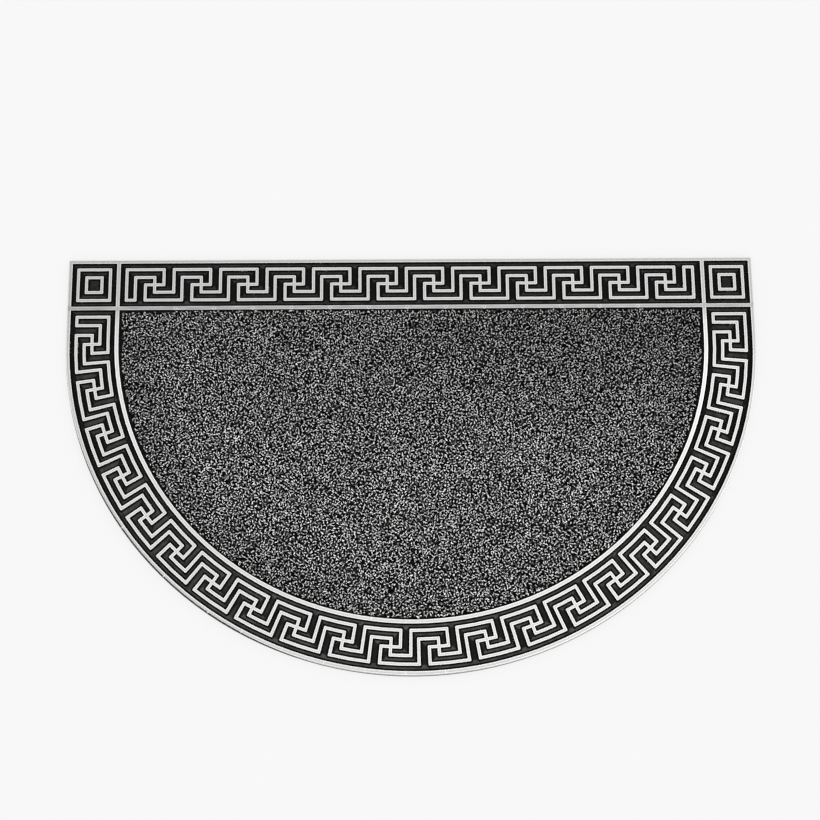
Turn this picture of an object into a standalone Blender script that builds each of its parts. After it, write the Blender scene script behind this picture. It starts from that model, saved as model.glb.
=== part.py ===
# Half-moon doormat: a moulded rubber base with a raised key border, and a pile panel laid in its tray.
# Origin: middle of the outline, on the floor. +X is to the right along the straight back edge,
# +Y points to that edge and +Z is up, so the rounded front faces -Y.

import math

import bmesh
import bpy
from mathutils import Vector
from mathutils.geometry import delaunay_2d_cdt

# Outline on the floor: a straight back edge, two short straight sides and half an ellipse in front
WIDTH = 0.750
DEPTH = 0.450
CURVE_DEPTH = 0.359
CURVE_STEPS = 72
WALL_LEAN = 0.0015

# Heights above the floor
TRAY_FLOOR = 0.0030
FIELD_TOP = 0.0050
RIDGE_TOP = 0.0065
PILE_TOP = 0.0075
GAP = 0.0003

# Border, inwards from the outline: outer rim, sunk field with the keys, inner rim round the tray
RIM = 0.0055
FIELD = 0.0482
INNER_RIM = 0.0044

# Keys: one line of even width on five rows across the field, with bars at set places along it
LINE = 0.0035
INNER_ROW = 0.0084
OUTER_ROW = 0.01725
ARM = 0.0100
BAR = 0.0209
CAP = 0.0304
LONGEST_CHORD = 0.020

# Two runs of keys: along the back, and round the front from the right side to the left
BACK_KEYS = 12
BACK_PITCH = 0.0507
BACK_SHIFT = -0.0008
FRONT_KEYS = 22
FRONT_PITCH = 0.0500

# Corner squares: outer sizes of the two square rings in each
RING_SIZES = (0.0382, 0.0202)

# Pile panel
PANEL_EDGE_ROUND = 0.0008

SHARP_ANGLE = math.radians(30)

FIELD_MIDDLE = RIM + FIELD / 2
FIELD_END = RIM + FIELD
TRAY_EDGE = FIELD_END + INNER_RIM
BACK = DEPTH / 2
CURVE_CENTRE_Y = CURVE_DEPTH - BACK
LENGTH_TABLE_STEPS = 360
MERGE_DISTANCE = 0.000001


def clear_objects():
    for item in list(bpy.data.objects):
        bpy.data.objects.remove(item, do_unlink=True)


def curve_point(angle, inset):
    """A point of the front curve, moved inwards; angle 0 is the front, and 90 degrees the right side."""
    half = WIDTH / 2
    point = Vector((half * math.sin(angle), CURVE_CENTRE_Y - CURVE_DEPTH * math.cos(angle)))
    outward = Vector((math.sin(angle) / half, -math.cos(angle) / CURVE_DEPTH)).normalized()
    return point - outward * inset


def round_the_front(inset, back_y):
    """Points from the right side's back end, round the front, to the left side's back end."""
    side_x = WIDTH / 2 - inset
    angles = [math.pi / 2 - math.pi * step / CURVE_STEPS for step in range(CURVE_STEPS + 1)]
    curve = [curve_point(angle, inset) for angle in angles]
    return [Vector((side_x, back_y))] + curve + [Vector((-side_x, back_y))]


def half_moon(inset):
    """The whole outline, moved inwards all round."""
    return round_the_front(inset, BACK - inset)


def front_field():
    """The sunk field round the front, open towards the back, as one closed outline."""
    outer = round_the_front(RIM, BACK - TRAY_EDGE)
    inner = round_the_front(FIELD_END, BACK - TRAY_EDGE)
    return outer + inner[::-1]


def rectangle(left, right, low, high):
    return [Vector((left, low)), Vector((right, low)), Vector((right, high)), Vector((left, high))]


def corner_square(side, size):
    """A square of the given size in the middle of a corner; side is 1 on the right and -1 on the left."""
    x = side * (WIDTH / 2 - FIELD_MIDDLE)
    y = BACK - FIELD_MIDDLE
    return rectangle(x - size / 2, x + size / 2, y - size / 2, y + size / 2)


def length_table():
    """Lengths along the front field's middle line, from the front to the right side, by angle."""
    table = [(0.0, 0.0)]
    last = curve_point(0.0, FIELD_MIDDLE)
    for step in range(1, LENGTH_TABLE_STEPS + 1):
        angle = math.pi / 2 * step / LENGTH_TABLE_STEPS
        point = curve_point(angle, FIELD_MIDDLE)
        table.append((table[-1][0] + (point - last).length, angle))
        last = point
    return table


LENGTHS = length_table()


def angle_at(length):
    """The curve's angle at a length along the middle line from the front."""
    step = next(i for i, row in enumerate(LENGTHS) if row[0] >= length)
    if step == 0:
        return 0.0
    (length_a, angle_a), (length_b, angle_b) = LENGTHS[step - 1], LENGTHS[step]
    return angle_a + (angle_b - angle_a) * (length - length_a) / (length_b - length_a)


def place_at_back(along, across):
    """Along runs left to right at the back, and across points outwards from the field's middle line."""
    return Vector((along, BACK - FIELD_MIDDLE + across))


def place_at_front(along, across):
    """Along runs from the right side round the front to the left side, with 0 at the front."""
    quarter = LENGTHS[-1][0]
    if abs(along) > quarter:
        point = Vector((WIDTH / 2 - FIELD_MIDDLE + across, CURVE_CENTRE_Y + abs(along) - quarter))
    else:
        point = curve_point(angle_at(abs(along)), FIELD_MIDDLE - across)
    if along > 0:
        point.x = -point.x
    return point


def with_steps(route):
    """Adds points to a route's long stretches along the run, so that they can follow a curve."""
    stepped = [route[0]]
    for (along_a, across_a), (along_b, across_b) in zip(route, route[1:]):
        pieces = max(1, math.ceil(abs(along_b - along_a) / LONGEST_CHORD))
        for step in range(1, pieces + 1):
            share = step / pieces
            stepped.append((along_a + (along_b - along_a) * share, across_a + (across_b - across_a) * share))
    return stepped


def side_normal(start, end):
    """Unit vector to the left of a stretch that runs straight along or straight across."""
    along, across = end[0] - start[0], end[1] - start[1]
    if abs(along) > abs(across):
        return (0, math.copysign(1, along))
    if across:
        return (-math.copysign(1, across), 0)
    return (0, 0)


def ribbon(route, place):
    """The outline of a line of even width along a route with square corners."""
    route = with_steps(route)
    left, right = [], []
    for before, here, after in zip(route[:1] + route, route, route[1:] + route[-1:]):
        into, out = side_normal(before, here), side_normal(here, after)
        shift = [max(-1, min(1, a + b)) * LINE / 2 for a, b in zip(into, out)]
        left.append(place(here[0] + shift[0], here[1] + shift[1]))
        right.append(place(here[0] - shift[0], here[1] - shift[1]))
    return left + right[::-1]


def lower_strand(start, end):
    """From the middle of one crossing, by the row next to the tray, down into the next crossing."""
    return [
        (start, 0), (start - ARM, 0), (start - ARM, -OUTER_ROW), (end - BAR, -OUTER_ROW),
        (end - BAR, INNER_ROW), (end, INNER_ROW), (end, 0),
    ]


def cap(first):
    """The two routes that join up a run's loose ends before its first crossing."""
    start = first - CAP
    outer = [(first, 0), (first + ARM, 0), (first + ARM, OUTER_ROW), (start, OUTER_ROW), (start, 0)]
    inner = [
        (start, 0), (start, -OUTER_ROW), (first - BAR, -OUTER_ROW), (first - BAR, INNER_ROW),
        (first, INNER_ROW), (first, 0),
    ]
    return [outer, inner]


def turned(route, start, end):
    """A route turned by half a turn about the middle between two crossings."""
    return [(start + end - along, -across) for along, across in route]


def key_run(count, pitch, shift, place):
    """All the ribbons of one run of keys."""
    crossings = [shift + (number - (count - 1) / 2) * pitch for number in range(count)]
    first, last = crossings[0], crossings[-1]
    routes = cap(first) + [turned(route, first, last) for route in cap(first)]
    for start, end in zip(crossings, crossings[1:]):
        strand = lower_strand(start, end)
        routes += [strand, turned(strand, start, end)]
    return [ribbon(route, place) for route in routes]


def border_regions():
    """Every outline of the top face with the kind of ground that it encloses."""
    back_field = rectangle(-WIDTH / 2 + TRAY_EDGE, WIDTH / 2 - TRAY_EDGE, BACK - FIELD_END, BACK - RIM)
    regions = [("mat", half_moon(WALL_LEAN)), ("tray", half_moon(TRAY_EDGE))]
    regions += [("field", back_field), ("field", front_field())]
    for side in (-1, 1):
        regions.append(("field", corner_square(side, FIELD)))
        for size in RING_SIZES:
            regions.append(("ring", corner_square(side, size)))
            regions.append(("ring", corner_square(side, size - 2 * LINE)))
    keys = key_run(BACK_KEYS, BACK_PITCH, BACK_SHIFT, place_at_back)
    keys += key_run(FRONT_KEYS, FRONT_PITCH, 0.0, place_at_front)
    return regions + [("key", outline) for outline in keys]


def signed_area(outline):
    return sum(a.x * b.y - b.x * a.y for a, b in zip(outline, outline[1:] + outline[:1])) / 2


def ground_of(kinds):
    """Which ground a piece of the top face is, from the kinds of outline round it."""
    if "tray" in kinds:
        return "tray"
    if "key" in kinds or kinds.count("ring") % 2:
        return "ridge"
    return "field" if "field" in kinds else "ridge"


def add_top_face(bm):
    """Fills the top face flat at the ridges' height, and returns its faces by ground."""
    points, loops, kinds = [], [], []
    for kind, outline in border_regions():
        if signed_area(outline) < 0:
            outline = outline[::-1]
        loops.append(list(range(len(points), len(points) + len(outline))))
        points += outline
        kinds.append(kind)
    inside = 1
    flat, _, cells, _, _, sources = delaunay_2d_cdt(points, [], loops, inside, MERGE_DISTANCE)
    verts = [bm.verts.new((point.x, point.y, RIDGE_TOP)) for point in flat]
    grounds = {"ridge": [], "field": [], "tray": []}
    for cell, source in zip(cells, sources):
        face = bm.faces.new([verts[index] for index in cell])
        grounds[ground_of([kinds[index] for index in source])].append(face)
    return grounds


def sink(bm, faces, drop):
    """Sinks part of the top face, with upright walls round it."""
    edges = list(dict.fromkeys(edge for face in faces for edge in face.edges))
    made = bmesh.ops.extrude_face_region(bm, geom=faces + edges)
    verts = [item for item in made["geom"] if isinstance(item, bmesh.types.BMVert)]
    bmesh.ops.translate(bm, verts=verts, vec=(0, 0, -drop))


def add_underside(bm):
    """Closes the base with its leaning outer wall and its flat underside."""
    rim = [edge for edge in bm.edges if edge.is_boundary]
    floor = [bm.verts.new((point.x, point.y, 0)) for point in half_moon(0)]
    underside = bm.faces.new(floor)
    bmesh.ops.bridge_loops(bm, edges=rim + list(underside.edges))


def plain_material(name, colour, roughness, metallic):
    material = bpy.data.materials.new(name)
    material.use_nodes = True
    material.diffuse_color = (*colour, 1)
    shader = material.node_tree.nodes["Principled BSDF"]
    shader.inputs["Base Color"].default_value = (*colour, 1)
    shader.inputs["Roughness"].default_value = roughness
    shader.inputs["Metallic"].default_value = metallic
    return material


def finish(bm, name, materials):
    bmesh.ops.recalc_face_normals(bm, faces=bm.faces)
    mesh = bpy.data.meshes.new(name)
    bm.to_mesh(mesh)
    bm.free()
    mesh.shade_smooth()
    mesh.set_sharp_from_angle(angle=SHARP_ANGLE)
    for material in materials:
        mesh.materials.append(material)
    piece = bpy.data.objects.new(name, mesh)
    bpy.context.collection.objects.link(piece)
    return piece


def make_rubber_base():
    """The one-piece moulding: tray, fields, rims, rings and keys."""
    rubber = plain_material("black_rubber", (0.018, 0.019, 0.020), 0.62, 0.0)
    paint = plain_material("silver_paint", (0.72, 0.72, 0.70), 0.45, 0.1)
    bm = bmesh.new()
    grounds = add_top_face(bm)
    for face in grounds["ridge"]:
        face.material_index = 1
    sink(bm, grounds["field"], RIDGE_TOP - FIELD_TOP)
    sink(bm, grounds["tray"], RIDGE_TOP - TRAY_FLOOR)
    add_underside(bm)
    return finish(bm, "rubber_base", [rubber, paint])


def make_pile_panel():
    """The textile insert, up to its pile's tips, with a soft top edge."""
    pile = plain_material("grey_pile", (0.10, 0.10, 0.10), 0.90, 0.0)
    inset = TRAY_EDGE + GAP
    bm = bmesh.new()
    low = TRAY_FLOOR + GAP
    verts = [bm.verts.new((point.x, point.y, low)) for point in half_moon(inset)]
    made = bmesh.ops.extrude_face_region(bm, geom=[bm.faces.new(verts)])
    top = [item for item in made["geom"] if isinstance(item, bmesh.types.BMVert)]
    bmesh.ops.translate(bm, verts=top, vec=(0, 0, PILE_TOP - low))
    top_edges = [edge for edge in bm.edges if all(vert.co.z > PILE_TOP - GAP for vert in edge.verts)]
    bmesh.ops.bevel(bm, geom=top_edges, offset=PANEL_EDGE_ROUND, offset_type="OFFSET", segments=2,
                    profile=0.5, affect="EDGES", material=-1)
    return finish(bm, "pile_panel", [pile])


clear_objects()
make_rubber_base()
make_pile_panel()
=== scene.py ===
# Looks of a half-moon doormat: a painted rubber moulding and a panel of curly pile laid in its tray.
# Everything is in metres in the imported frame: +X along the straight back edge, +Y towards that edge,
# +Z up from the floor.

import functools
import math

import bmesh
import bpy
import numpy as np
from mathutils import Euler, Matrix, Vector


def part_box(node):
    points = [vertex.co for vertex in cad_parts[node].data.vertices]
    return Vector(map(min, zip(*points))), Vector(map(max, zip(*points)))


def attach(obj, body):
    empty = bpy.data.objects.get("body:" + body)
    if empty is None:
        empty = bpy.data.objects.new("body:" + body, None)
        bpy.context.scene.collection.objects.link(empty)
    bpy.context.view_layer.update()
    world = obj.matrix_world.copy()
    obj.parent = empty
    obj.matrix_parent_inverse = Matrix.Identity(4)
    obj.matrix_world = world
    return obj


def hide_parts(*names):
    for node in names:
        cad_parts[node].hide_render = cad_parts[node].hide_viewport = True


bl_info = {
    "name": "Half-moon doormat",
    "version": (1, 0, 0),
    "blender": (4, 5, 0),
    "location": "View3D > Sidebar > Doormat",
    "description": "Builds the painted moulding, vent marks and curly pile of a half-moon doormat",
    "category": "Add Mesh",
}

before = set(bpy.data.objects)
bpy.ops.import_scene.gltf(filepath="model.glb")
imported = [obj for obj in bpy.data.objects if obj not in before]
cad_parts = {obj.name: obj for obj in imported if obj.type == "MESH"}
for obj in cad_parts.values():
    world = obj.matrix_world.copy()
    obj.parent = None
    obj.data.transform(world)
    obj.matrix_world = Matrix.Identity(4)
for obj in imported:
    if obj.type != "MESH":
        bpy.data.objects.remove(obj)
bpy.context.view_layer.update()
BASE_LOW, BASE_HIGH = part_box("rubber_base")
PANEL_LOW, PANEL_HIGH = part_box("pile_panel")

# The moulding's levels, the back's inner rim, the centre of the front's curve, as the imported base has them
FIELD_TOP = 0.0050
RIDGE_TOP = BASE_HIGH[2]
INNER_BACK_RIM = (0.1669, 0.1713)
CURVE_CENTRE_Y = 0.134

# Limits that tell heights, points, flat faces and corners apart
LEVEL_SLACK = 0.0001
MERGE_DISTANCE = 0.000001
FLAT_ANGLE = math.radians(0.2)
CORNER_ANGLE = math.radians(40)


class MouldingLook(bpy.types.PropertyGroup):
    corner_round: bpy.props.FloatProperty(
        name="Corner round", description="Radius of the outer corners of rings and keys, seen from above",
        default=0.0011, unit="LENGTH")
    edge_round: bpy.props.FloatProperty(
        name="Edge round", description="Radius of the soft edge along the top of every ridge",
        default=0.00055, unit="LENGTH")
    rim_round: bpy.props.FloatProperty(
        name="Rim round", description="How far the soft edge drops along the outside of the outer rim",
        default=0.0011, unit="LENGTH")
    top_border: bpy.props.FloatProperty(
        name="Top border", description="Width of the raised strips on both sides of a ridge's hollow middle",
        default=0.0005, unit="LENGTH")
    top_hollow: bpy.props.FloatProperty(
        name="Top hollow", description="Depth of the hollow along the middle of a ridge's top",
        default=0.00012, unit="LENGTH")
    # The strip at every ridge's foot, below the lane's crown, stays dark as painted shade
    foot_groove: bpy.props.FloatProperty(
        name="Foot groove", description="Width of the darkened strip of field at the foot of every ridge",
        default=0.0023, unit="LENGTH")
    lane_crown: bpy.props.FloatProperty(
        name="Lane crown", description="How far the middle of a field lane stands above its sides",
        default=0.00015, unit="LENGTH")
    paint_wrap: bpy.props.FloatProperty(
        name="Paint wrap", description="How far down a ridge's side the silver reaches",
        default=0.0001, unit="LENGTH")
    rubber: bpy.props.FloatVectorProperty(
        name="Rubber", description="Colour of the black rubber", subtype="COLOR",
        default=(0.0045, 0.0045, 0.0044))
    paint: bpy.props.FloatVectorProperty(
        name="Paint", description="Colour of the silver paint", subtype="COLOR",
        default=(0.362, 0.361, 0.354))


class PileLook(bpy.types.PropertyGroup):
    pitch: bpy.props.FloatProperty(
        name="Pitch", description="Distance between neighbouring curls of yarn",
        default=0.00157, unit="LENGTH")
    wander: bpy.props.FloatProperty(
        name="Wander", description="How far a curl may stand from its even place, as a share of the pitch",
        default=0.34, subtype="FACTOR")
    yarn: bpy.props.FloatProperty(
        name="Yarn", description="Half the thickness of the average curl's yarn",
        default=0.00047, unit="LENGTH")
    shortest: bpy.props.FloatProperty(
        name="Shortest curl", description="Length of yarn in the shortest curl",
        default=0.0020, unit="LENGTH")
    longest: bpy.props.FloatProperty(
        name="Longest curl", description="Length of yarn in the longest curl",
        default=0.0044, unit="LENGTH")
    backing: bpy.props.FloatProperty(
        name="Backing", description="Thickness of the cloth that the pile stands on",
        default=0.0015, unit="LENGTH")
    evenness: bpy.props.FloatProperty(
        name="Evenness", description="How strongly a curl's tone keeps away from those of its neighbours",
        default=1.6, subtype="FACTOR")
    seed: bpy.props.IntProperty(
        name="Seed", description="Start of the random lie of the curls", default=7)


class StageLook(bpy.types.PropertyGroup):
    floor: bpy.props.FloatVectorProperty(
        name="Floor", description="Colour of the pale floor", subtype="COLOR", default=(0.10, 0.10, 0.10))
    floor_glow: bpy.props.FloatProperty(
        name="Floor glow", description="Light that the floor gives off, which thins its shadows",
        default=0.716)
    dome: bpy.props.FloatProperty(
        name="Dome", description="Brightness of the even part of the studio's light", default=1.90)
    overhead: bpy.props.FloatProperty(
        name="Overhead", description="Brightness that the soft light above adds", default=4.7)
    distance: bpy.props.FloatProperty(
        name="Distance", description="Brightness that shows beyond the floor", default=0.94)


def frame_object(node):
    return bpy.data.objects[node]


def convex_outline(node):
    """A node's outline seen from above, as the inward normals and offsets of its straight pieces."""
    data = frame_object(node).data
    points = np.empty(len(data.vertices) * 3)
    data.vertices.foreach_get("co", points)
    points = points.reshape(-1, 3)
    low = points[:, 2] < points[:, 2].min() + LEVEL_SLACK
    ring = np.unique(points[low, :2].round(6), axis=0)
    middle = ring.mean(axis=0)
    ring = ring[np.argsort(np.arctan2(*(ring - middle).T[::-1]))]
    along = np.roll(ring, -1, axis=0) - ring
    normals = np.stack([-along[:, 1], along[:, 0]], axis=1) / np.linalg.norm(along, axis=1)[:, None]
    return normals, (normals * ring).sum(axis=1)


OUTLINE_NORMALS, OUTLINE_OFFSETS = convex_outline("rubber_base")
PANEL_NORMALS, PANEL_OFFSETS = convex_outline("pile_panel")


def outline_distance(point):
    """Distance of a point from the mat's outline, inwards, seen from above."""
    return float(min(OUTLINE_NORMALS @ np.array((point.x, point.y)) - OUTLINE_OFFSETS))


def panel_room(x, y):
    """Distance of points from the panel's edge, inwards, and the way in from the nearest edge."""
    room = PANEL_NORMALS[:, 0, None] * x + PANEL_NORMALS[:, 1, None] * y - PANEL_OFFSETS[:, None]
    return room.min(axis=0), PANEL_NORMALS[room.argmin(axis=0)]


def by_angle(place, table):
    """A value that changes round the front, whose angle in degrees is 0 in the middle, 90 at the right."""
    forward = max(CURVE_CENTRE_Y - place.y, 0.0) / (CURVE_CENTRE_Y - BASE_LOW[1])
    return float(np.interp(math.degrees(math.atan2(place.x / BASE_HIGH[0], forward)), *table))


def merged_copy(node):
    """A node's mesh with its loose triangles joined up and its flat areas made whole again."""
    bm = bmesh.new()
    bm.from_mesh(frame_object(node).data)
    bmesh.ops.remove_doubles(bm, verts=bm.verts, dist=MERGE_DISTANCE)
    bmesh.ops.dissolve_limit(bm, angle_limit=FLAT_ANGLE, use_dissolve_boundaries=False, verts=bm.verts,
                             edges=bm.edges, delimit={"NORMAL"})
    return bm


def finished_mesh(bm, name, material, smooth_up_to):
    """A mesh in its material, shaded smooth but for edges that are sharper than an angle in degrees."""
    mesh = bpy.data.meshes.new(name)
    bm.to_mesh(mesh)
    bm.free()
    mesh.shade_smooth()
    mesh.set_sharp_from_angle(angle=math.radians(smooth_up_to))
    mesh.materials.append(material)
    return mesh


def link_piece(name, mesh):
    """Puts a finished mesh in the scene as a piece that rides on the mat."""
    piece = bpy.data.objects.new(name, mesh)
    bpy.context.scene.collection.objects.link(piece)
    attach(piece, "root")
    return piece


# The Mix node's sockets for colours
MIX_SHARE, MIX_LOW, MIX_HIGH, MIX_RESULT = 0, 6, 7, 2


class Graph:
    """Short ways to add and link the nodes of a material, a world or a node group."""

    def __init__(self, tree):
        self.tree = tree

    def link(self, out, into):
        self.tree.links.new(out, into)

    def add(self, kind, values=None, **settings):
        """A new node with its settings, whose sockets take a value or a link each."""
        node = self.tree.nodes.new(kind)
        for key, value in settings.items():
            setattr(node, key, value)
        for key, value in (values or {}).items():
            if isinstance(value, bpy.types.NodeSocket):
                self.link(value, node.inputs[key])
            else:
                node.inputs[key].default_value = value
        return node

    def object_place(self):
        return self.add("ShaderNodeTexCoord").outputs["Object"]

    def attribute(self, name):
        return self.add("ShaderNodeAttribute", attribute_name=name).outputs["Fac"]

    def math(self, operation, *values):
        return self.add("ShaderNodeMath", dict(enumerate(values)), operation=operation).outputs[0]

    def product(self, *values):
        return functools.reduce(functools.partial(self.math, "MULTIPLY"), values)

    def scaled(self, colour, factor):
        return self.add("ShaderNodeVectorMath", {0: colour, "Scale": factor}, operation="SCALE").outputs[0]

    def ramp(self, value, low, high, start=0.0, end=1.0):
        """A smooth step from start, where the value is low, to end, where it is high."""
        sockets = {"Value": value, "From Min": low, "From Max": high, "To Min": start, "To Max": end}
        return self.add("ShaderNodeMapRange", sockets, interpolation_type="SMOOTHSTEP").outputs["Result"]

    def noise(self, place, scale, detail=2.0, roughness=0.5, distortion=0.0):
        sockets = {"Vector": place, "Scale": scale, "Detail": detail, "Roughness": roughness,
                   "Distortion": distortion}
        return self.add("ShaderNodeTexNoise", sockets).outputs["Fac"]

    def mix(self, share, low, high):
        """A mix of two colours."""
        sockets = {MIX_SHARE: share, MIX_LOW: low, MIX_HIGH: high}
        return self.add("ShaderNodeMix", sockets, data_type="RGBA").outputs[MIX_RESULT]


def opaque(colour):
    return (*colour, 1.0)


def new_material(name, **constants):
    """A material with its shader's own constants set; gives it, its graph and its shader's sockets."""
    material = bpy.data.materials.new(name)
    material.use_nodes = True
    into = material.node_tree.nodes["Principled BSDF"].inputs
    for key, value in constants.items():
        into[key.replace("_", " ")].default_value = value
    return material, Graph(material.node_tree), into


def shader_group(name, values, outputs):
    """An empty node group that takes a place and some values; gives its graph, inputs and outputs."""
    tree = bpy.data.node_groups.new(name, "ShaderNodeTree")
    tree.interface.new_socket("Place", in_out="INPUT", socket_type="NodeSocketVector")
    for label, value in values.items():
        socket = tree.interface.new_socket(label, in_out="INPUT", socket_type="NodeSocketFloat")
        socket.default_value = value
    for label, kind in outputs.items():
        tree.interface.new_socket(label, in_out="OUTPUT", socket_type=kind)
    given = tree.nodes.new("NodeGroupInput").outputs
    made = tree.nodes.new("NodeGroupOutput").inputs
    return Graph(tree), given, made


def use_group(g, name, place, **values):
    """Places a shared effect in a material, with the material's own values; gives what it puts out."""
    sockets = {key.replace("_", " "): value for key, value in values.items()}
    tree = bpy.data.node_groups[name]
    return g.add("ShaderNodeGroup", {"Place": place, **sockets}, node_tree=tree).outputs


# How much finer the second size of the grain is than the first
FINE_GRAIN_SCALE = 3.7


def grain_group():
    """Grain at two sizes: its height, the roughness that follows it, and its bump."""
    values = {"Scale": 1500.0, "Detail": 3.0, "Harshness": 0.6, "Distortion": 0.0, "Fine share": 0.0,
              "Least roughness": 0.5, "Roughness change": 0.2, "Bump": 0.3, "Bump height": 0.0001}
    outputs = {"Height": "NodeSocketFloat", "Roughness": "NodeSocketFloat", "Normal": "NodeSocketVector"}
    g, given, made = shader_group("grain", values, outputs)
    coarse = g.noise(given["Place"], given["Scale"], given["Detail"], given["Harshness"],
                     given["Distortion"])
    fine = g.noise(given["Place"], g.product(given["Scale"], FINE_GRAIN_SCALE))
    coarse_share = g.math("SUBTRACT", 1.0, given["Fine share"])
    height = g.math("MULTIPLY_ADD", coarse, coarse_share, g.product(fine, given["Fine share"]))
    roughness = g.math("MULTIPLY_ADD", height, given["Roughness change"], given["Least roughness"])
    bump = g.add("ShaderNodeBump", {"Height": height, "Strength": given["Bump"],
                                    "Distance": given["Bump height"]})
    g.link(height, made["Height"])
    g.link(roughness, made["Roughness"])
    g.link(bump.outputs["Normal"], made["Normal"])


def cloudiness_group():
    """Slow, uneven change over the surface: it makes the rubber's painted sheen patchy, and the floor
    faintly uneven.
    """
    g, given, made = shader_group("cloudiness", {"Scale": 20.0, "Strength": 0.2},
                                  {"Factor": "NodeSocketFloat"})
    cloud = g.noise(given["Place"], given["Scale"], detail=4.0, roughness=0.6, distortion=0.3)
    centred = g.math("SUBTRACT", cloud, 0.5)
    g.link(g.math("MULTIPLY_ADD", centred, given["Strength"], 1.0), made["Factor"])


# How the painted rubber changes over the mat. Each line gives where a change starts and ends, and then the
# values on both sides of it, or none where they are 0 and 1. Places, heights and the way in from the
# outline are in metres. Hollow, lane and sideways are shares that the moulding's points carry, and noise
# runs from 0 to 1.
# Painted light on the silver: painted shade to the left and the back, and painted highlights on the curve's
# inner rim, stronger at the front and the right, and along the outline at the front's right
SILVER_LIGHT_BY_X = (-0.36, 0.36, 0.93, 1.07)
SILVER_LIGHT_BY_Y = (0.10, 0.19, 1.0, 0.84)
CURVE_RIM_BY_WAY_IN = (0.0525, 0.0535)
CURVE_RIM_BY_Y = (0.150, 0.165, 1.0, 0.0)
CURVE_RIM_HIGHLIGHT_BY_Y = (-0.08, 0.08, 0.02, 0.20)
CURVE_RIM_HIGHLIGHT_BY_X = (0.0, 0.25, 0.0, 0.05)
BRIGHT_EDGE_BY_WAY_IN = (0.0010, 0.0032, 0.26, 0.0)
BRIGHT_EDGE_BY_X = (0.04, 0.16)
BRIGHT_EDGE_BY_Y = (0.06, 0.134, 1.0, 0.0)
BACK_RIM_STARTS = (INNER_BACK_RIM[0] - 0.001, INNER_BACK_RIM[0])
BACK_RIM_ENDS = (INNER_BACK_RIM[1], INNER_BACK_RIM[1] + 0.001, 1.0, 0.0)
# Painted shade on the silver where the outer rim bends away, by the way in from the outline
BEND_STARTS = (0.0016, 0.0027)
BEND_ENDS = (0.0027, 0.0038, 1.0, 0.0)
# Painted shade in the hollow middles of ridge tops and nubs and at a nub's foot; raised borders, nub tops
# and ribs are lighter
SHADE_BY_HOLLOW = (0.5, 0.95, 1.27, 0.77)
RAGGEDNESS_BY_LIMIT = (0.002, 0.006, 0.0008, 0.00022)
PAINT_BY_HEIGHT = (-0.00003, 0.00003)
PAINT_BY_HOLLOW = (0.05, 0.30)
PAINT_PAST_BARE = (-0.0001, 0.0001)
HOLES_BY_NOISE = (0.27, 0.33)
SPECKS_BY_NOISE = (0.60, 0.63)
SPECK_AREAS_BY_NOISE = (0.63, 0.66)
SPECKS_BY_LANE = (0.05, 0.30, 0.9, 0.0)
SPECKS_BY_WAY_IN = (0.004, 0.006)
# Painted sheen on the rubber: a painted highlight on the crowned lanes, stronger at the front and on lanes
# that run along X; the strips at the ridges' feet get none and stay dark as painted shade
SHEEN_BY_LANE = (0.55, 1.0)
SHEEN_BY_Y = (-0.24, 0.22, 6.8, 2.8)
SHEEN_BY_SIDEWAYS = (0.3, 1.0, 0.14, 1.0)

# Streaks in the silver of the back's inner rim: how fine they are along x, y and z, the noise at which they
# take no silver away, and how strong they are
STREAK_SCALES = (45.0, 1500.0, 1.0)
STREAK_LEVEL = 0.70
STREAK_STRENGTH = 0.9

# Single values of the paint and the rubber
FLAKE_STRENGTH, FLAKE_LEAST = 0.20, 0.90
BEND_DARKER = 0.16
PAINT_IN_HOLES = 0.35
BARE_EDGE_WANDER = 0.0004
# The painted sheen's least share in its patches, and the rubber's level without it
SHEEN_LEAST_PATCH, SHEEN_EVERYWHERE = 0.15, 0.25
SILVER_METALLIC = 0.45
SILVER_ROUGHER = 0.08


def silver_light_and_streaks(g, place, x, y, way_in):
    """How light the silver looks by place: painted shade that darkens it to the left and the back, a painted
    highlight on the curve's inner rim and along the outline at the front's right, and streaks in the paint
    on the back's inner rim."""
    # Painted shade to the left and the back, and painted highlights on the curve's inner rim and at the
    # front's right edge
    even = g.product(g.ramp(x, *SILVER_LIGHT_BY_X), g.ramp(y, *SILVER_LIGHT_BY_Y))
    curve_rim = g.product(g.ramp(way_in, *CURVE_RIM_BY_WAY_IN), g.ramp(y, *CURVE_RIM_BY_Y))
    rim_highlight = g.math("ADD", g.ramp(y, *CURVE_RIM_HIGHLIGHT_BY_Y), g.ramp(x, *CURVE_RIM_HIGHLIGHT_BY_X))
    bright_edge = g.product(g.ramp(way_in, *BRIGHT_EDGE_BY_WAY_IN), g.ramp(x, *BRIGHT_EDGE_BY_X),
                            g.ramp(y, *BRIGHT_EDGE_BY_Y))
    lit_silver = g.product(even, g.math("MULTIPLY_ADD", rim_highlight, curve_rim, 1.0),
                     g.math("ADD", bright_edge, 1.0))
    stretched = g.add("ShaderNodeVectorMath", {0: place, 1: STREAK_SCALES}, operation="MULTIPLY")
    streaks = g.math("SUBTRACT", g.noise(stretched.outputs[0], scale=1.0, detail=3.0), STREAK_LEVEL)
    back_rim = g.product(g.ramp(y, *BACK_RIM_STARTS), g.ramp(y, *BACK_RIM_ENDS))
    return g.math("MULTIPLY_ADD", g.product(streaks, back_rim), STREAK_STRENGTH, lit_silver)


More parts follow.
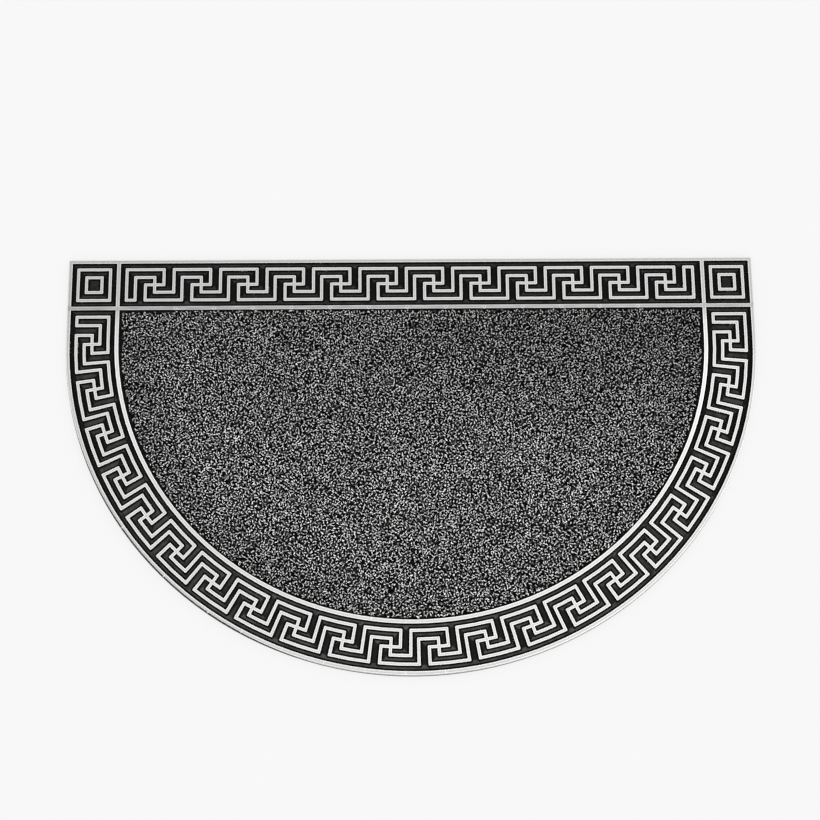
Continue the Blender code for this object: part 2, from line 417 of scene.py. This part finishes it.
def silver_tone(g, place, x, y, hollow, way_in):
    """How light the silver looks: flaky, with painted shade in the hollow tops and where the outer rim
    bends.
    """
    flake = g.noise(place, scale=5200.0, detail=1.0)
    flaky = g.math("MULTIPLY_ADD", flake, FLAKE_STRENGTH, FLAKE_LEAST)
    # Painted shade where the outer rim bends
    bend = g.product(g.ramp(way_in, *BEND_STARTS), g.ramp(way_in, *BEND_ENDS))
    bent = g.math("MULTIPLY_ADD", bend, -BEND_DARKER, 1.0)
    # Painted shade in the hollows
    hollow_shade = g.ramp(hollow, *SHADE_BY_HOLLOW)
    return g.product(flaky, hollow_shade, bent, silver_light_and_streaks(g, place, x, y, way_in))


def paint_mask(g, place, height, limit, lane, hollow, way_in, bare):
    """Where silver lies: above a ragged limit, but for small holes and the bare edge, and in specks."""
    wander = g.math("SUBTRACT", g.noise(place, scale=900.0, detail=3.0), 0.5)
    ragged = g.math("MULTIPLY_ADD", wander, g.ramp(limit, *RAGGEDNESS_BY_LIMIT), limit)
    over = g.math("SUBTRACT", height, ragged)
    coated = g.math("MAXIMUM", g.ramp(over, *PAINT_BY_HEIGHT), g.ramp(hollow, *PAINT_BY_HOLLOW))
    holes = g.math("MAXIMUM", g.ramp(g.noise(place, scale=2300.0), *HOLES_BY_NOISE), PAINT_IN_HOLES)
    past_bare = g.math("SUBTRACT", g.math("MULTIPLY_ADD", wander, BARE_EDGE_WANDER, way_in), bare)
    painted = g.product(coated, holes, g.ramp(past_bare, *PAINT_PAST_BARE))
    specks = g.product(g.ramp(g.noise(place, scale=800.0), *SPECKS_BY_NOISE),
                       g.ramp(g.noise(place, scale=34.0), *SPECK_AREAS_BY_NOISE),
                       g.ramp(lane, *SPECKS_BY_LANE), g.ramp(way_in, *SPECKS_BY_WAY_IN))
    return g.math("MAXIMUM", painted, specks)


def painted_sheen_on_rubber(g, place, y, lane, sideways):
    """How light the rubber looks: a patchy painted sheen on the crowned lanes, most on those that run along
    X, and painted shade at the ridges' feet.
    """
    sheen = g.product(g.ramp(lane, *SHEEN_BY_LANE), g.ramp(y, *SHEEN_BY_Y),
                      g.ramp(sideways, *SHEEN_BY_SIDEWAYS))
    clouds = use_group(g, "cloudiness", place, Scale=130.0, Strength=2.6)
    patchy = g.math("MAXIMUM", clouds["Factor"], SHEEN_LEAST_PATCH)
    return g.math("MULTIPLY_ADD", sheen, patchy, SHEEN_EVERYWHERE)


def painted_rubber(look):
    """Black rubber whose ridge tops carry rolled-on silver; the paint's lower limit is on the mesh."""
    material, g, into = new_material("painted_rubber", IOR=1.5, Specular_IOR_Level=0.012)
    place = g.object_place()
    x, y, height = g.add("ShaderNodeSeparateXYZ", {"Vector": place}).outputs
    limit, lane, sideways, hollow, way_in, bare = (
        g.attribute(name) for name in ("paint_limit", "lane", "sideways", "hollow", "way_in", "bare"))
    painted = paint_mask(g, place, height, limit, lane, hollow, way_in, bare)
    # The rubber's colour carries the painted sheen and the painted shade at the ridges' feet
    rubber = g.scaled(look.rubber, painted_sheen_on_rubber(g, place, y, lane, sideways))
    silver = g.scaled(look.paint, silver_tone(g, place, x, y, hollow, way_in))
    grain = use_group(g, "grain", place, Scale=1700.0, Detail=3.0, Harshness=0.6, Fine_share=0.4,
                      Least_roughness=0.30, Roughness_change=0.18, Bump=0.30, Bump_height=0.00012)
    g.link(g.mix(painted, rubber, silver), into["Base Color"])
    g.link(g.product(painted, SILVER_METALLIC), into["Metallic"])
    g.link(g.math("MULTIPLY_ADD", painted, SILVER_ROUGHER, grain["Roughness"]), into["Roughness"])
    g.link(grain["Normal"], into["Normal"])
    return material


# Colours of the yarn by its tone: the darkest and the palest, and the greys between them with their tones
YARN_DARKEST = (0.0015, 0.0015, 0.0015)
YARN_PALEST = (0.96, 0.947, 0.944)
YARN_GREYS = ((0.30, 0.005), (0.55, 0.09), (0.80, 0.48))

# How far blotches change the tone of the yarn, and how light its fibres are at least and by their height
BLOTCH_STRENGTH = 0.85
FIBRES_LEAST, FIBRES_STRENGTH = 0.78, 0.5

# Colours of the cloth at the root of the pile, and the heights of its grain between which they change
CLOTH_DARK = (0.0015, 0.0015, 0.0015)
CLOTH_PALE = (0.02, 0.02, 0.02)
CLOTH_BY_GRAIN = (0.45, 0.75)


def pile_yarn():
    """Mixed black, grey and off-white yarn with a fine twist of fibres, blotchy, and darker in places by
    painted shade.
    """
    material, g, into = new_material("pile_yarn", Specular_IOR_Level=0.01)
    place = g.object_place()
    fibres = use_group(g, "grain", place, Scale=4200.0, Detail=3.0, Harshness=0.65,
                       Least_roughness=0.72, Roughness_change=0.2, Bump=0.4, Bump_height=0.00012)
    blotches = g.math("SUBTRACT", g.noise(place, scale=900.0), 0.5)
    tone = g.math("MULTIPLY_ADD", blotches, BLOTCH_STRENGTH, g.attribute("tone"))
    dyed = g.add("ShaderNodeValToRGB", {"Fac": tone})
    stops = dyed.color_ramp.elements
    stops[0].position, stops[0].color = 0.0, opaque(YARN_DARKEST)
    stops[1].position, stops[1].color = 1.0, opaque(YARN_PALEST)
    for position, grey in YARN_GREYS:
        stops.new(position).color = opaque((grey, grey, grey))
    twisted = g.math("MULTIPLY_ADD", fibres["Height"], FIBRES_STRENGTH, FIBRES_LEAST)
    # The 'light' attribute carries each curl's painted shade
    shade = g.product(twisted, g.attribute("light"))
    g.link(g.scaled(dyed.outputs["Color"], shade), into["Base Color"])
    g.link(fibres["Roughness"], into["Roughness"])
    g.link(fibres["Normal"], into["Normal"])
    return material


def pile_cloth():
    """Dark matted cloth at the root of the pile."""
    material, g, into = new_material("pile_cloth", Specular_IOR_Level=0.01)
    matted = use_group(g, "grain", g.object_place(), Scale=650.0, Detail=5.0, Harshness=0.7, Distortion=1.5,
                       Least_roughness=0.8, Roughness_change=0.15, Bump=0.9, Bump_height=0.0008)
    pale = g.ramp(matted["Height"], *CLOTH_BY_GRAIN)
    g.link(g.mix(pale, opaque(CLOTH_DARK), opaque(CLOTH_PALE)), into["Base Color"])
    g.link(matted["Roughness"], into["Roughness"])
    g.link(matted["Normal"], into["Normal"])
    return material


def pale_floor(look):
    material, g, into = new_material("pale_floor", Specular_IOR_Level=0.0, Roughness=0.9)
    faint = use_group(g, "cloudiness", g.object_place(), Scale=3.0, Strength=0.006)
    g.link(g.scaled(look.floor, faint["Factor"]), into["Base Color"])
    into["Emission Color"].default_value = opaque((1.0, 1.0, 1.0))
    into["Emission Strength"].default_value = look.floor_glow
    return material


# The moulding's soft forms: steps in a rounded corner and in a soft edge, the outer rim's outside band,
# and the angles up to which the pieces are shaded smooth, in degrees
CORNER_STEPS = 3
EDGE_STEPS = 3
OUTSIDE_BAND = 0.0034
MOULDING_SMOOTH, MARKS_SMOOTH, BACKING_SMOOTH = 60, 50, 40

# By the angle round the front: the height at which the outer wall's paint ends, and the bare edge's width
PAINT_END_BY_ANGLE = ((5, 28, 76, 88), (0.0018, 0.0005, 0.0004, 0.0018))
BARE_BY_ANGLE = ((-84, -72, -55, -30, -22, -13), (0.0, 0.0019, 0.0023, 0.0021, 0.0014, 0.0))


def is_upright(edge):
    """Whether an edge stands upright and is as tall as a ridge."""
    low, high = sorted((vert.co for vert in edge.verts), key=lambda co: co.z)
    rise = high.z - low.z
    return (low.xy - high.xy).length < LEVEL_SLACK and rise > RIDGE_TOP - FIELD_TOP - LEVEL_SLACK


def round_corners(bm, radius):
    """Rounds the outer corners of rings and keys in plan."""
    corners = [edge for edge in bm.edges
               if is_upright(edge) and edge.calc_face_angle_signed(0) > CORNER_ANGLE]
    bmesh.ops.bevel(bm, geom=corners, offset=radius, offset_type="OFFSET", segments=CORNER_STEPS,
                    profile=0.5, affect="EDGES", material=-1)


def face_groups(faces):
    """Splits faces into groups that hang together."""
    left, groups = dict.fromkeys(faces), []
    while left:
        group, front = [], [left.popitem()[0]]
        while front:
            face = front.pop()
            group.append(face)
            for edge in face.edges:
                for other in edge.link_faces:
                    if other in left:
                        del left[other]
                        front.append(other)
        groups.append(group)
    return groups


def refill(bm, faces):
    """Fills flat areas afresh from their boundaries, so that none of their faces folds over another."""
    filled = []
    for group in face_groups(faces):
        members = set(group)
        rim = [edge for face in group for edge in face.edges
               if sum(other in members for other in edge.link_faces) == 1]
        bmesh.ops.delete(bm, geom=group, context="FACES_KEEP_BOUNDARY")
        made = bmesh.ops.triangle_fill(bm, use_beauty=True, use_dissolve=False, edges=rim, normal=(0, 0, 1))
        filled += [item for item in made["geom"] if isinstance(item, bmesh.types.BMFace)]
    return filled


def level_faces(bm, height):
    """Faces that lie at a height with all their points."""
    return [face for face in bm.faces if all(abs(vert.co.z - height) < LEVEL_SLACK for vert in face.verts)]


def inset(bm, faces, width):
    """Draws a flat area in evenly all round; gives its new faces."""
    bmesh.ops.inset_region(bm, faces=faces, thickness=width, use_even_offset=True, use_boundary=True)
    return refill(bm, faces)


def points_of(faces):
    return {vert for face in faces for vert in face.verts}


def crown_lanes(bm, look):
    """Lifts the middle of every field lane a little, and marks it and the way it runs for the painted sheen,
    leaving painted shade at the ridges' feet.
    """
    lane = bm.verts.layers.float.new("lane")
    sideways = bm.loops.layers.float.new("sideways")
    crowned = points_of(inset(bm, level_faces(bm, FIELD_TOP), look.foot_groove))
    for vert in crowned:
        vert.co.z += look.lane_crown
        vert[lane] = 1.0
    for face in {face for vert in crowned for face in vert.link_faces}:
        run = max(face.edges, key=bmesh.types.BMEdge.calc_length).verts
        for loop in face.loops:
            loop[sideways] = abs((run[0].co - run[1].co).normalized().x)


def soften_tops(bm, look):
    """Rounds the edges of all ridge tops in a few steps, and hollows the tops out a little."""
    drop = bm.verts.layers.float.new("drop")
    hollow = bm.verts.layers.float.new("hollow")
    tops = level_faces(bm, RIDGE_TOP)
    for step in range(EDGE_STEPS):
        angle, after = (math.pi / 2 * number / EDGE_STEPS for number in (step, step + 1))
        for vert in points_of(tops):
            vert[drop] = 1 - math.sin(angle)
        tops = inset(bm, tops, look.edge_round * (math.cos(angle) - math.cos(after)))
    for vert in points_of(tops):
        vert[drop] = 0.0
    for vert in points_of(inset(bm, tops, look.top_border)):
        vert.co.z -= look.top_hollow
        vert[hollow] = 1.0
    for vert in bm.verts:
        radius = look.rim_round if outline_distance(vert.co) < OUTSIDE_BAND else look.edge_round
        vert.co.z -= radius * vert[drop]
    bm.verts.layers.float.remove(drop)


def mark_paint(bm, look):
    """Marks how low the silver reaches, the way in from the outline, and how wide the bare edge is there."""
    limit, way_in, bare = (bm.verts.layers.float.new(name) for name in ("paint_limit", "way_in", "bare"))
    for vert in bm.verts:
        vert[way_in] = outline_distance(vert.co)
        vert[limit] = RIDGE_TOP - look.paint_wrap
        if vert[way_in] < OUTSIDE_BAND:
            vert[limit] = by_angle(vert.co, PAINT_END_BY_ANGLE)
        vert[bare] = by_angle(vert.co, BARE_BY_ANGLE)


class DOORMAT_OT_moulding(bpy.types.Operator):
    """Builds the rubber moulding with soft edges and rounded corners, and its painted rubber"""
    bl_idname = "doormat.moulding"
    bl_label = "Rubber moulding"

    def execute(self, context):
        look = context.scene.moulding_look
        bm = merged_copy("rubber_base")
        round_corners(bm, look.corner_round)
        refill(bm, level_faces(bm, FIELD_TOP) + level_faces(bm, RIDGE_TOP))
        crown_lanes(bm, look)
        soften_tops(bm, look)
        mark_paint(bm, look)
        mesh = finished_mesh(bm, "rubber_moulding", painted_rubber(look), MOULDING_SMOOTH)
        piece = link_piece("rubber_moulding", mesh)
        even = piece.modifiers.new("even_shading", "WEIGHTED_NORMAL")
        even.keep_sharp = True
        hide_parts("rubber_base")
        return {"FINISHED"}


# Marks that the mould's vents leave: round nubs along the back's inner rim, ribs across the front rims.
# A nub's rings are drawn in by a width and then raised. The row of nubs is shifted to the left and slipped
# off the rim's middle. The ribs stand at angles in degrees, as far in from the outline as their insets say.
NUB_RADIUS = 0.0023
NUB_HEIGHT = 0.00025
NUB_SUNK = 0.0001
NUB_SLOPE = 0.00035
NUB_RINGS = ((0.0005, 0.0), (0.0003, -NUB_HEIGHT))
NUB_PITCH = 0.04193
NUB_SHIFT = -0.0046
NUB_SLIP = 0.0002
NUB_SIDES = 18
NUBS_EACH_WAY = 6
RIB_SIZE = (0.0009, 0.0042, 0.0005)
RIB_ROUND = 0.0002
RIB_STEPS = 2
OUTER_RIB_ANGLES = (-55.2, -44.5, -35.1, -28.8, -21.7, -14.7, -8.0, -1.5, 4.9)
INNER_RIB_ANGLES = (-8.0, -1.6)
OUTER_RIB_INSET = 0.0034
INNER_RIB_INSET = 0.0561

# What the marks' points carry for their paint: silver all over, with painted shade at a nub's foot and in
# its hollow alone
MARK_LIMIT = RIDGE_TOP - 2 * NUB_SUNK
MARK_WAY_IN = 0.005
NUB_LOW_HOLLOW, NUB_HIGH_HOLLOW, RIB_HOLLOW = 1.1, -0.6, -1.0


def add_nub(bm, x, y):
    """A low disc with sloping sides and a hollow middle, on top of a rim."""
    depth = NUB_SUNK + NUB_HEIGHT
    at = Matrix.Translation((x, y, RIDGE_TOP - NUB_SUNK + depth / 2))
    made = bmesh.ops.create_cone(bm, cap_ends=True, segments=NUB_SIDES, radius1=NUB_RADIUS,
                                 radius2=NUB_RADIUS - NUB_SLOPE, depth=depth, matrix=at)
    faces = {face for vert in made["verts"] for face in vert.link_faces}
    disc = [max(faces, key=lambda face: face.calc_center_median().z)]
    for width, rise in NUB_RINGS:
        bmesh.ops.inset_region(bm, faces=disc, thickness=width, use_even_offset=True, use_boundary=True)
        bmesh.ops.translate(bm, verts=list(points_of(disc)), vec=(0, 0, rise))


def front_place(angle, inward):
    """A place on the front rims, by the angle round the curve and the way in, and how a rib turns there."""
    half, depth = BASE_HIGH[0], CURVE_CENTRE_Y - BASE_LOW[1]
    edge = Vector((half * math.sin(angle), CURVE_CENTRE_Y - depth * math.cos(angle)))
    normal = Vector((math.sin(angle) / half, -math.cos(angle) / depth)).normalized()
    return edge - normal * inward, math.atan2(-normal.x, normal.y)


def add_rib(bm, angle, inward):
    """A low rib with rounded edges, across a front rim."""
    place, turn = front_place(math.radians(angle), inward)
    size = Matrix.Diagonal((*RIB_SIZE, 1.0))
    at = Matrix.Translation((place.x, place.y, RIDGE_TOP)) @ Matrix.Rotation(turn, 4, "Z") @ size
    made = bmesh.ops.create_cube(bm, size=1.0, matrix=at)
    edges = list({edge for vert in made["verts"] for edge in vert.link_edges})
    bmesh.ops.bevel(bm, geom=edges, offset=RIB_ROUND, offset_type="OFFSET", segments=RIB_STEPS,
                    profile=0.5, affect="EDGES", material=-1)


class DOORMAT_OT_vents(bpy.types.Operator):
    """Builds the small marks that the mould's vents leave on the rims"""
    bl_idname = "doormat.vents"
    bl_label = "Vent marks"

    def execute(self, context):
        bm = bmesh.new()
        layers = bm.verts.layers.float
        limit, hollow, way_in = (layers.new(name) for name in ("paint_limit", "hollow", "way_in"))
        for number in range(-NUBS_EACH_WAY, NUBS_EACH_WAY + 1):
            add_nub(bm, NUB_SHIFT + number * NUB_PITCH, sum(INNER_BACK_RIM) / 2 - NUB_SLIP)
        nubs = set(bm.verts)
        for vert in nubs:
            vert[limit] = MARK_LIMIT
            vert[hollow] = NUB_LOW_HOLLOW if vert.co.z < RIDGE_TOP + NUB_SUNK else NUB_HIGH_HOLLOW
        for angle in OUTER_RIB_ANGLES:
            add_rib(bm, angle, OUTER_RIB_INSET)
        for angle in INNER_RIB_ANGLES:
            add_rib(bm, angle, INNER_RIB_INSET)
        for vert in bm.verts:
            vert[way_in] = MARK_WAY_IN
            if vert not in nubs:
                vert[hollow] = RIB_HOLLOW
        mesh = finished_mesh(bm, "vent_marks", bpy.data.materials["painted_rubber"], MARKS_SMOOTH)
        link_piece("vent_marks", mesh)
        return {"FINISHED"}


class DOORMAT_OT_backing(bpy.types.Operator):
    """Builds the cloth that the pile stands on, cut to the tray"""
    bl_idname = "doormat.backing"
    bl_label = "Pile backing"

    def execute(self, context):
        look = context.scene.pile_look
        bm = merged_copy("pile_panel")
        above = [vert for vert in bm.verts if vert.co.z > PANEL_LOW[2] + LEVEL_SLACK]
        bmesh.ops.delete(bm, geom=above, context="VERTS")
        bmesh.ops.recalc_face_normals(bm, faces=bm.faces)
        made = bmesh.ops.extrude_face_region(bm, geom=list(bm.faces))
        lifted = [item for item in made["geom"] if isinstance(item, bmesh.types.BMVert)]
        bmesh.ops.translate(bm, verts=lifted, vec=(0, 0, look.backing))
        bmesh.ops.recalc_face_normals(bm, faces=bm.faces)
        mesh = finished_mesh(bm, "pile_backing", pile_cloth(), BACKING_SMOOTH)
        piece = link_piece("pile_backing", mesh)
        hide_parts("pile_panel")
        return {"FINISHED"}


# A curl's form: the root, the two bends and the other root along its yarn, how high each of them stands,
# and how deep the roots are sunk in the backing
CURL_SIDES = 3
CURL_PLACES = np.array((-0.5, -0.2, 0.2, 0.5))
CURL_RISES = np.array((0.0, 1.0, 1.0, 0.0))
ROOT_SUNK = 0.0002
PATH_STEPS = 24

# How the curls differ: the thickness of their yarn as shares of the average, how far they bend in radians,
# how far their crests lie below the highest, and how much lower the darkest lie
YARN_SPREAD = (0.75, 1.25)
SWEEP_SPREAD = 1.7
CREST_SPREAD = 0.0005
DARK_CREST_DROP = 0.0002

# Joined meshes among which the curls are shared out
PILE_PIECES = 5

# Strip at the panel's edge that the pile leaves bare, by the distance from the middle of the mat, and the
# room that the middle of a curl needs beyond it
STRIP_BY_X = ((0.24, 0.30), (0.0004, 0.0020))
LEAST_CURL_ROOM = 0.0008

# Mix of the yarn: shares of all curls, from the darkest up, and the tones that they reach
TONE_BY_SHARE = ((0.0, 0.52, 0.67, 0.79, 1.0), (0.0, 0.10, 0.45, 0.82, 1.0))

# A curl's own place and its neighbours' on the grid of triangles, and how often the tones are evened out
GRID_PLACES = ((0, 0), (0, 1), (0, -1), (1, 0), (-1, 0), (1, -1), (-1, 1))
EVENING_PASSES = 2

# Painted shade on the pile: darker towards the back, darker still there for each metre to the right, and
# darker in a belt along the curve, which starts at a share of the way out and is stronger at the sides
LIGHT_BY_Y = ((-0.02, 0.15), (0.98, 0.67))
SLANT_BY_Y = ((0.0, 0.13), (0.0, 0.52))
BELT_BY_WAY_OUT = ((0.84, 1.0), (0.0, 1.0))
BELT_BY_X = ((-0.15, 0.0, 0.30), (0.28, 0.04, 0.14))


def bare_strip(x):
    return np.interp(np.abs(x), *STRIP_BY_X)


def yarn_mix(value):
    """The tones of the mix, dealt out in the order of the values."""
    order = value.argsort(axis=None).argsort()
    return np.interp(order / order.size, *TONE_BY_SHARE).reshape(value.shape)


def mixed_tones(random, shape, evenness):
    """Tones of an even mix of yarns, in which a curl tends to differ from those round it."""
    value = random.normal(size=shape)
    for _ in range(EVENING_PASSES):
        tone = yarn_mix(value)
        around = sum(np.roll(tone, step, axis=(0, 1)) for step in GRID_PLACES) / len(GRID_PLACES)
        value = value - evenness * around
    return yarn_mix(value)


def curl_centres(random, look):
    """Places on a grid of triangles over the panel, whose rows each start half a pitch further on. Each
    place is moved a little at random. Gives the places and the tones of the yarn there."""
    row_gap = look.pitch * math.sqrt(3) / 2
    rows = math.ceil((PANEL_HIGH[1] - PANEL_LOW[1]) / row_gap)
    columns = math.ceil((PANEL_HIGH[0] - PANEL_LOW[0]) / look.pitch)
    row, column = np.mgrid[0:rows, -rows // 2:columns]
    tone = mixed_tones(random, row.shape, look.evenness)
    wander_x, wander_y = random.uniform(-look.wander, look.wander, (2, *row.shape))
    x = PANEL_LOW[0] + (column + row / 2 + wander_x) * look.pitch
    y = PANEL_LOW[1] + row * row_gap + wander_y * look.pitch
    x, y, tone = x.ravel(), y.ravel(), tone.ravel()
    inside = panel_room(x, y)[0] > bare_strip(x) + LEAST_CURL_ROOM
    return x[inside], y[inside], tone[inside]


def painted_pile_shade(x, y):
    """How light the pile is left by painted shade at places of the panel."""
    slant = 1.0 - x * np.interp(y, *SLANT_BY_Y)
    forward = np.minimum(y - CURVE_CENTRE_Y, 0.0) / (CURVE_CENTRE_Y - PANEL_LOW[1])
    belt = np.interp(np.hypot(x / PANEL_HIGH[0], forward), *BELT_BY_WAY_OUT)
    return np.interp(y, *LIGHT_BY_Y) * slant * (1.0 - belt * np.interp(x, *BELT_BY_X))


def curl_middle_lines(random, look, x, y, tone):
    """Middle lines of all curls: arcs in plan that rise out of the backing and dive into it again. Gives
    their points, the way they run at each of them, and the radius of each curl's yarn."""
    count = x.size
    length = random.uniform(look.shortest, look.longest, count)
    sweep = random.normal(0.0, SWEEP_SPREAD, count)
    heading = random.uniform(0, 2 * math.pi, count)
    radius = random.uniform(*YARN_SPREAD, count) * look.yarn
    steps = np.linspace(-0.5, 0.5, PATH_STEPS + 1)
    turns = heading[:, None] + sweep[:, None] * steps
    stride = length[:, None] / PATH_STEPS
    path_x = np.cumsum(np.cos(turns) * stride, axis=1)
    path_y = np.cumsum(np.sin(turns) * stride, axis=1)
    pick = ((CURL_PLACES + 0.5) * PATH_STEPS).round().astype(int)
    line_x = x[:, None] + (path_x - path_x.mean(axis=1, keepdims=True))[:, pick]
    line_y = y[:, None] + (path_y - path_y.mean(axis=1, keepdims=True))[:, pick]
    room, inwards = panel_room(line_x.ravel(), line_y.ravel())
    room = room.reshape(line_x.shape) - (radius + bare_strip(x))[:, None]
    way_in = inwards.reshape(*line_x.shape, 2)[np.arange(count), room.argmin(axis=1)]
    nudge = np.maximum(0.0, -room.min(axis=1))[:, None] * way_in
    line_x, line_y = line_x + nudge[:, :1], line_y + nudge[:, 1:]
    root = PANEL_LOW[2] + look.backing - ROOT_SUNK
    crest = PANEL_HIGH[2] - radius - random.uniform(0.0, CREST_SPREAD, count) - (1 - tone) * DARK_CREST_DROP
    line_z = root + (crest - root)[:, None] * CURL_RISES
    return line_x, line_y, line_z, turns[:, pick], radius


def curl_mesh(name, line_x, line_y, line_z, turn, radius, tone, light):
    """One mesh of many curls, each a closed tube of a few sides that comes to a point at both roots."""
    slope = np.arctan2(np.gradient(line_z, axis=1),
                       np.hypot(np.gradient(line_x, axis=1), np.gradient(line_y, axis=1)))
    up = np.stack([-np.sin(slope) * np.cos(turn), -np.sin(slope) * np.sin(turn), np.cos(slope)], axis=-1)
    across = np.stack([-np.sin(turn), np.cos(turn), np.zeros_like(turn)], axis=-1)
    middle = np.stack([line_x, line_y, line_z], axis=-1)
    around = np.arange(CURL_SIDES) / CURL_SIDES * 2 * math.pi + math.pi / 2
    ways_across = np.cos(around)[:, None] * across[:, :, None, :]
    ways_up = np.sin(around)[:, None] * up[:, :, None, :]
    tube = middle[:, :, None, :] + (ways_across + ways_up) * radius[:, None, None, None]
    bends = tube[:, 1:-1].reshape(len(tone), -1, 3)
    verts = np.concatenate([middle[:, :1], bends, middle[:, -1:]], axis=1)
    triangles = curl_triangles(rings=line_x.shape[1] - 2)
    faces = (np.arange(len(tone))[:, None, None] * verts.shape[1] + triangles).reshape(-1, 3)
    mesh = bpy.data.meshes.new(name)
    mesh.vertices.add(verts.size // 3)
    mesh.vertices.foreach_set("co", verts.astype(np.float32).ravel())
    mesh.loops.add(faces.size)
    mesh.loops.foreach_set("vertex_index", faces.astype(np.int32).ravel())
    mesh.polygons.add(len(faces))
    mesh.polygons.foreach_set("loop_start", np.arange(0, faces.size, 3, dtype=np.int32))
    mesh.update(calc_edges=True)
    mesh.validate()
    mesh.shade_smooth()
    # Each curl's tone, and its painted shade as 'light'
    for label, values in (("tone", tone), ("light", light)):
        layer = mesh.attributes.new(label, "FLOAT", "POINT")
        layer.data.foreach_set("value", np.repeat(values, verts.shape[1]).astype(np.float32))
    return mesh


def curl_triangles(rings):
    """Triangles of one curl: a cone at each root, and bands of two triangles a side between the rings."""
    side = np.arange(CURL_SIDES)
    after = (side + 1) % CURL_SIDES
    first, last = 1, 1 + (rings - 1) * CURL_SIDES
    root = np.zeros_like(side)
    found = [(first + after, first + side, root), (last + side, last + after, root + last + CURL_SIDES)]
    for low in range(first, last, CURL_SIDES):
        high = low + CURL_SIDES
        found += [(low + side, low + after, high + after), (low + side, high + after, high + side)]
    return np.concatenate([np.stack(corners, axis=-1) for corners in found])


class DOORMAT_OT_pile(bpy.types.Operator):
    """Builds the curls of the pile as a few joined meshes"""
    bl_idname = "doormat.pile"
    bl_label = "Curly pile"

    def execute(self, context):
        look = context.scene.pile_look
        random = np.random.default_rng(look.seed)
        x, y, tone = curl_centres(random, look)
        curls = (*curl_middle_lines(random, look, x, y, tone), tone, painted_pile_shade(x, y))
        yarn = pile_yarn()
        for number, group in enumerate(np.array_split(np.arange(x.size), PILE_PIECES), start=1):
            name = f"pile_curls_{number}"
            mesh = curl_mesh(name, *(values[group] for values in curls))
            mesh.materials.append(yarn)
            link_piece(name, mesh)
        return {"FINISHED"}


# Floor's size, and the soft light above the mat: where its middle stands, and how far it reaches from there
FLOOR_RADIUS = 8.0
FLOOR_SIDES = 64
LIGHT_WAY = (0.02, -0.06, 1.0)
LIGHT_SPREAD = math.radians(22)

# Camera: its place, its turn in degrees, and its lens in millimetres
CAMERA_PLACE = (-0.0275, -0.2131, 1.3668)
CAMERA_TURN = (11.138, -0.407, -0.435)
CAMERA_LENS = 56.85
CAMERA_SENSOR = 36.0
CAMERA_SHIFT_X = 0.015


def build_floor(look):
    bm = bmesh.new()
    bmesh.ops.create_circle(bm, cap_ends=True, segments=FLOOR_SIDES, radius=FLOOR_RADIUS)
    mesh = bpy.data.meshes.new("floor")
    bm.to_mesh(mesh)
    bm.free()
    mesh.materials.append(pale_floor(look))
    floor = bpy.data.objects.new("floor", mesh)
    bpy.context.scene.collection.objects.link(floor)


def build_studio_light(look):
    """An even dome of light with a soft bright patch above. Beyond the floor an even pale tone shows."""
    world = bpy.data.worlds.new("studio")
    world.use_nodes = True
    bpy.context.scene.world = world
    g = Graph(world.node_tree)
    into = world.node_tree.nodes["Background"].inputs
    into["Color"].default_value = opaque((1.0, 1.0, 1.0))
    way = g.add("ShaderNodeTexCoord").outputs["Generated"]
    toward = g.add("ShaderNodeVectorMath", {0: way, 1: Vector(LIGHT_WAY).normalized()},
                   operation="DOT_PRODUCT").outputs["Value"]
    lit = g.ramp(toward, math.cos(LIGHT_SPREAD), 1.0)
    strength = g.math("MULTIPLY_ADD", lit, look.overhead, look.dome)
    seen = g.add("ShaderNodeLightPath").outputs["Is Camera Ray"]
    shown = g.math("MULTIPLY_ADD", seen, g.math("SUBTRACT", look.distance, strength), strength)
    g.link(shown, into["Strength"])


def place_camera():
    lens = bpy.data.cameras.new("camera")
    lens.lens = CAMERA_LENS
    lens.shift_x = CAMERA_SHIFT_X
    lens.sensor_width = CAMERA_SENSOR
    camera = bpy.data.objects.new("camera", lens)
    camera.location = CAMERA_PLACE
    camera.rotation_euler = Euler([math.radians(angle) for angle in CAMERA_TURN])
    bpy.context.scene.collection.objects.link(camera)
    bpy.context.scene.camera = camera
    bpy.context.scene.view_settings.view_transform = "Standard"


class DOORMAT_OT_stage(bpy.types.Operator):
    """Sets the floor, the soft light and the camera"""
    bl_idname = "doormat.stage"
    bl_label = "Stage"

    def execute(self, context):
        look = context.scene.stage_look
        build_floor(look)
        build_studio_light(look)
        place_camera()
        return {"FINISHED"}


class DOORMAT_PT_panel(bpy.types.Panel):
    """Buttons and sizes of the doormat"""
    bl_idname = "DOORMAT_PT_panel"
    bl_label = "Doormat"
    bl_space_type = "VIEW_3D"
    bl_region_type = "UI"
    bl_category = "Doormat"

    def draw(self, context):
        for name in LOOKS:
            box = self.layout.box()
            look = getattr(context.scene, name)
            for key in look.__annotations__:
                box.prop(look, key)
        for operator in OPERATORS:
            self.layout.operator(operator.bl_idname)


LOOKS = {"moulding_look": MouldingLook, "pile_look": PileLook, "stage_look": StageLook}
OPERATORS = (DOORMAT_OT_moulding, DOORMAT_OT_vents, DOORMAT_OT_backing, DOORMAT_OT_pile,
             DOORMAT_OT_stage)


def register():
    for item in (*LOOKS.values(), *OPERATORS, DOORMAT_PT_panel):
        bpy.utils.register_class(item)
    for name, look in LOOKS.items():
        setattr(bpy.types.Scene, name, bpy.props.PointerProperty(type=look))


def unregister():
    for name in LOOKS:
        delattr(bpy.types.Scene, name)
    for item in (DOORMAT_PT_panel, *OPERATORS, *LOOKS.values()):
        bpy.utils.unregister_class(item)


def main():
    register()
    grain_group()
    cloudiness_group()
    bpy.ops.doormat.moulding()
    bpy.ops.doormat.vents()
    bpy.ops.doormat.backing()
    bpy.ops.doormat.pile()
    bpy.ops.doormat.stage()


if __name__ == "__main__":
    main()
